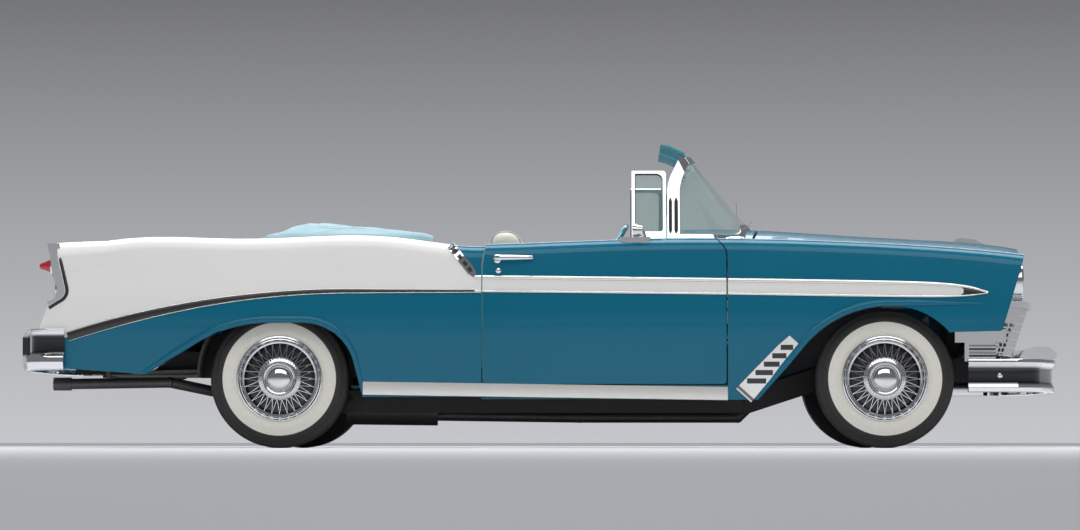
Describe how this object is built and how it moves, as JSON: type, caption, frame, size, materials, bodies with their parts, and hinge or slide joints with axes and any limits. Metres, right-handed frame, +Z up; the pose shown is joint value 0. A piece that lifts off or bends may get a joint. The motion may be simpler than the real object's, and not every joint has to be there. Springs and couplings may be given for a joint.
{
  "type": "convertible car",
  "caption": "Full-size two-door convertible car of the 1950s with its top folded under a boot cover, opening doors, bonnet and boot lid, steered front wheels and rolling wheels.",
  "frame": {"origin": "on the floor under the middle of the car's length and width", "axes": "+X to the nose, +Y to the car's left, +Z up"},
  "size_m": [5.0884, 1.8814, 1.486],
  "materials": {
    "body_paint": "gloss teal",
    "white_paint": "gloss white",
    "under_paint": "satin black",
    "dash_paint": "gloss teal",
    "chrome": "polished",
    "clear_glass": "clear",
    "tinted_glass": "green tinted",
    "red_lens": "gloss red",
    "seat_vinyl": "cream",
    "boot_vinyl": "pale turquoise",
    "visor_vinyl": "teal",
    "wheel_rim_plastic": "teal",
    "engine_iron": "painted grey",
    "steel": "dull",
    "tyre": "black with a white wall"
  },
  "bodies": {
    "car_body": {"cowl": "body_paint", "dashboard": "dash_paint", "driveline": "engine_iron", "engine": "engine_iron", "exhaust": "steel", "fender_left": "body_paint", "fender_right": "body_paint", "floor_pan": "under_paint", "frame": "under_paint", "front_bumper": "chrome", "front_seat": "seat_vinyl", "front_suspension": "steel", "fuel_tank": "under_paint", "grille": "chrome", "headlamp_lenses": "clear_glass", "headlamp_rims": "chrome", "nose_panel": "body_paint", "quarter_left": "white_paint", "quarter_right": "white_paint", "radiator": "under_paint", "rear_bumper": "chrome", "rear_deck": "white_paint", "rear_seat": "seat_vinyl", "rear_springs": "steel", "steering_column": "wheel_rim_plastic", "sun_visors": "visor_vinyl", "tail_lamp_housings": "chrome", "tail_lamp_lenses": "red_lens", "tail_panel": "white_paint", "top_boot": "boot_vinyl", "wheelhouses": "under_paint", "windshield_frame": "chrome", "windshield_glass": "tinted_glass"},
    "door_left": {"door_left": "body_paint", "vent_frame_left": "chrome", "vent_glass_left": "tinted_glass"},
    "door_right": {"door_right": "body_paint", "vent_frame_right": "chrome", "vent_glass_right": "tinted_glass", "door_mirror": "chrome"},
    "hood": {"hood": "body_paint", "hood_ornament": "chrome"},
    "trunk_lid": {"trunk_lid": "white_paint"},
    "knuckle_left": {"knuckle_left": "steel"},
    "knuckle_right": {"knuckle_right": "steel"},
    "front_wheel_left": {"tyre_front_left": "tyre", "wheel_front_left": "chrome"},
    "front_wheel_right": {"tyre_front_right": "tyre", "wheel_front_right": "chrome"},
    "rear_wheel_left": {"tyre_rear_left": "tyre", "wheel_rear_left": "chrome"},
    "rear_wheel_right": {"tyre_rear_right": "tyre", "wheel_rear_right": "chrome"},
    "steering_wheel": {"steering_wheel": "wheel_rim_plastic"}
  },
  "joints": [
    {"name": "door_left_hinge", "type": "hinge", "parent": "car_body", "child": "door_left", "pos_m": [0.975, 0.892, 0.6], "axis": [0, 0, -1], "range_deg": [0, 62]},
    {"name": "door_right_hinge", "type": "hinge", "parent": "car_body", "child": "door_right", "pos_m": [0.975, -0.892, 0.6], "axis": [0, 0, 1], "range_deg": [0, 62]},
    {"name": "hood_hinge", "type": "hinge", "parent": "car_body", "child": "hood", "pos_m": [0.975, 0, 1.02], "axis": [0, -1, 0], "range_deg": [0, 50]},
    {"name": "trunk_hinge", "type": "hinge", "parent": "car_body", "child": "trunk_lid", "pos_m": [-1.3, 0, 0.96], "axis": [0, 1, 0], "range_deg": [0, 62]},
    {"name": "steer_left", "type": "hinge", "parent": "car_body", "child": "knuckle_left", "pos_m": [1.675, 0.655, 0.334], "axis": [0, 0, 1], "range_deg": [-32, 32]},
    {"name": "steer_right", "type": "hinge", "parent": "car_body", "child": "knuckle_right", "pos_m": [1.675, -0.655, 0.334], "axis": [0, 0, 1], "range_deg": [-32, 32]},
    {"name": "spin_front_left", "type": "hinge", "parent": "knuckle_left", "child": "front_wheel_left", "pos_m": [1.675, 0.736, 0.334], "axis": [0, 1, 0], "continuous": true},
    {"name": "spin_front_right", "type": "hinge", "parent": "knuckle_right", "child": "front_wheel_right", "pos_m": [1.675, -0.736, 0.334], "axis": [0, 1, 0], "continuous": true},
    {"name": "spin_rear_left", "type": "hinge", "parent": "car_body", "child": "rear_wheel_left", "pos_m": [-1.247, 0.747, 0.334], "axis": [0, 1, 0], "continuous": true},
    {"name": "spin_rear_right", "type": "hinge", "parent": "car_body", "child": "rear_wheel_right", "pos_m": [-1.247, -0.747, 0.334], "axis": [0, 1, 0], "continuous": true},
    {"name": "steering_wheel_turn", "type": "hinge", "parent": "car_body", "child": "steering_wheel", "pos_m": [0.33, 0.37, 0.96], "axis": [-0.8581, 0, 0.5134], "range_deg": [-544, 544]}
  ],
  "couplings": [
    {"joint": "steer_right", "follows": "steer_left", "ratio": 1},
    {"joint": "steering_wheel_turn", "follows": "steer_left", "ratio": 17}
  ]
}
